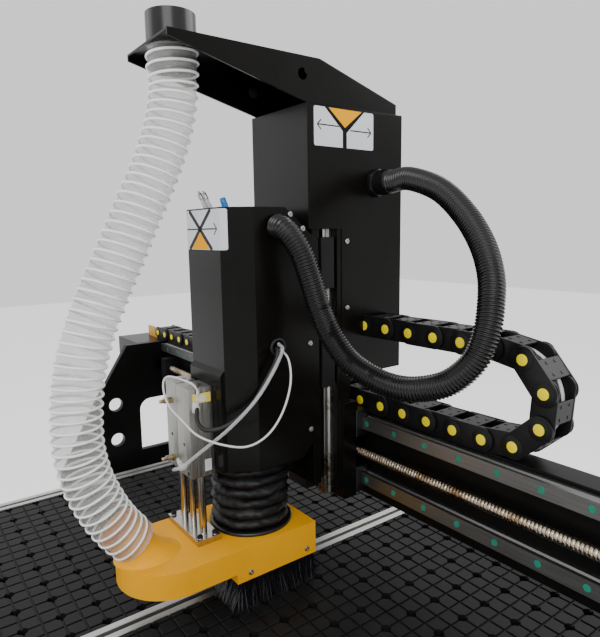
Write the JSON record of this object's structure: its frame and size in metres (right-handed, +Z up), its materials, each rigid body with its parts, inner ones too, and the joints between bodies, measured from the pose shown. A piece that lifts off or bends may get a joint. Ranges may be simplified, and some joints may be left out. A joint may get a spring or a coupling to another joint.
{
  "type": "cnc router",
  "caption": "Gantry CNC router: grid-matted table on a welded base, moving gantry, cross carriage with hooded column, spindle slide, floating dust shoe and hose.",
  "frame": {"origin": "floor level under the middle of the machine, on the spindle's axis at rest", "axes": "+X along the gantry to the machine's right, +Y along the table away from the operator, +Z up"},
  "size_m": [1.78, 1.5, 1.691],
  "materials": {
    "frame_paint": "fine textured black powder coat",
    "satin_paint": "smooth satin black powder coat on sheet metal",
    "bed_board": "matt dark grey grid matting board",
    "strip_alu": "brushed anodised extrusion",
    "ground_steel": "ground and polished",
    "screw_steel": "rolled, lightly oiled",
    "block_steel": "ground bearing block",
    "dark_oxide": "black oxide",
    "plug_green": "moulded plug",
    "motor_black": "satin black",
    "chain_black": "moulded nylon links with amber pin caps",
    "amber_zinc": "amber",
    "mill_alu": "milled",
    "screw_zinc": "zinc plated screw",
    "hose_clear": "clear wall with a white helix",
    "conduit_black": "corrugated",
    "gland_black": "moulded nylon",
    "spindle_grey": "anodised dark",
    "fitting_brass": "plated",
    "cyl_alu": "clear anodised extrusion",
    "sensor_yellow": "moulded",
    "tube_clear": "clear polyurethane",
    "cable_white": "cable jacket",
    "cable_black": "cable sleeve",
    "collet_steel": "ground",
    "nut_steel": "hardened dark",
    "rod_chrome": "hard chromed",
    "shoe_yellow": "moulded amber yellow",
    "brush_black": "strip brush bristles",
    "bellows_rubber": "ribbed"
  },
  "bodies": {
    "base": {"long_tubes": "frame_paint", "cross_tubes": "frame_paint", "legs": "frame_paint", "levelling_feet": "dark_oxide", "bed_boards": "bed_board", "tslot_strips": "strip_alu", "y_rails": "ground_steel", "y_screw_supports": "dark_oxide", "y_motors": "motor_black"},
    "y_screw_left": {"y_screw_left": "screw_steel"},
    "y_screw_right": {"y_screw_right": "screw_steel"},
    "gantry": {"gantry_plates": "frame_paint", "gantry_beam": "frame_paint", "x_rails": "ground_steel", "x_rail_plugs": "plug_green", "x_screw_supports": "dark_oxide", "x_motor": "motor_black", "y_bearing_blocks": "block_steel", "y_nut_brackets": "dark_oxide", "end_covers": "frame_paint", "chain_bracket": "amber_zinc", "x_cable_chain": "chain_black"},
    "x_screw": {"x_screw": "screw_steel"},
    "carriage": {"carriage_plate": "satin_paint", "x_bearing_blocks": "block_steel", "x_nut_block": "mill_alu", "z_rails": "ground_steel", "z_screw_supports": "dark_oxide", "z_motor": "motor_black", "hood_shell": "satin_paint", "hood_sides": "satin_paint", "hood_screws": "screw_zinc", "hose_arm": "satin_paint", "hose_collar": "gland_black", "dust_hose": "hose_clear", "conduit_gland": "gland_black", "wire_conduit": "conduit_black"},
    "z_screw": {"z_screw": "screw_steel"},
    "z_slide": {"z_plate": "mill_alu", "z_bearing_blocks": "block_steel", "z_nut_block": "mill_alu", "spindle_cover": "satin_paint", "cover_sides": "satin_paint", "cover_screws": "screw_zinc", "spindle_body": "spindle_grey", "spindle_clamps": "mill_alu", "line_fittings": "fitting_brass", "air_cylinder": "cyl_alu", "position_sensor": "sensor_yellow", "air_tubes": "tube_clear", "sensor_cable": "cable_white", "valve_cable": "cable_black"},
    "spindle_rotor": {"spindle_shaft": "ground_steel", "collet": "collet_steel", "collet_nut": "nut_steel"},
    "shoe": {"cylinder_rods": "rod_chrome", "shoe_shell": "shoe_yellow", "shoe_screws": "screw_zinc", "brush_skirt": "brush_black", "bellows": "bellows_rubber"}
  },
  "joints": [
    {"name": "gantry_slide", "type": "slide", "parent": "base", "child": "gantry", "axis": [0, 1, 0], "range_m": [-0.56, 0.44]},
    {"name": "y_screw_left_turn", "type": "hinge", "parent": "base", "child": "y_screw_left", "pos_m": [-0.65, 0, 0.585], "axis": [0, 1, 0], "range_deg": [-41000, 33000]},
    {"name": "y_screw_right_turn", "type": "hinge", "parent": "base", "child": "y_screw_right", "pos_m": [0.65, 0, 0.585], "axis": [0, 1, 0], "range_deg": [-41000, 33000]},
    {"name": "carriage_slide", "type": "slide", "parent": "gantry", "child": "carriage", "axis": [1, 0, 0], "range_m": [-0.55, 0.55], "deforming": ["x_cable_chain"]},
    {"name": "x_screw_turn", "type": "hinge", "parent": "gantry", "child": "x_screw", "pos_m": [0, 0.16, 1.0536], "axis": [1, 0, 0], "range_deg": [-40000, 40000]},
    {"name": "z_slide", "type": "slide", "parent": "carriage", "child": "z_slide", "axis": [0, 0, 1], "range_m": [-0.06, 0], "deforming": ["wire_conduit"]},
    {"name": "z_screw_turn", "type": "hinge", "parent": "carriage", "child": "z_screw", "pos_m": [0, 0.106, 1.2], "axis": [0, 0, 1], "range_deg": [-4400, 100]},
    {"name": "spindle_spin", "type": "hinge", "parent": "z_slide", "child": "spindle_rotor", "pos_m": [0, 0, 1.035], "axis": [0, 0, 1], "continuous": true},
    {"name": "shoe_lift", "type": "slide", "parent": "z_slide", "child": "shoe", "axis": [0, 0, 1], "range_m": [0, 0.06], "deforming": ["bellows"]}
  ],
  "couplings": [
    {"joint": "y_screw_left_turn", "follows": "gantry_slide", "rad_per_m": 1256.6},
    {"joint": "y_screw_right_turn", "follows": "gantry_slide", "rad_per_m": 1256.6},
    {"joint": "x_screw_turn", "follows": "carriage_slide", "rad_per_m": 1256.6},
    {"joint": "z_screw_turn", "follows": "z_slide", "rad_per_m": 1256.6},
    {"joint": "shoe_lift", "follows": "z_slide", "ratio": -1}
  ]
}
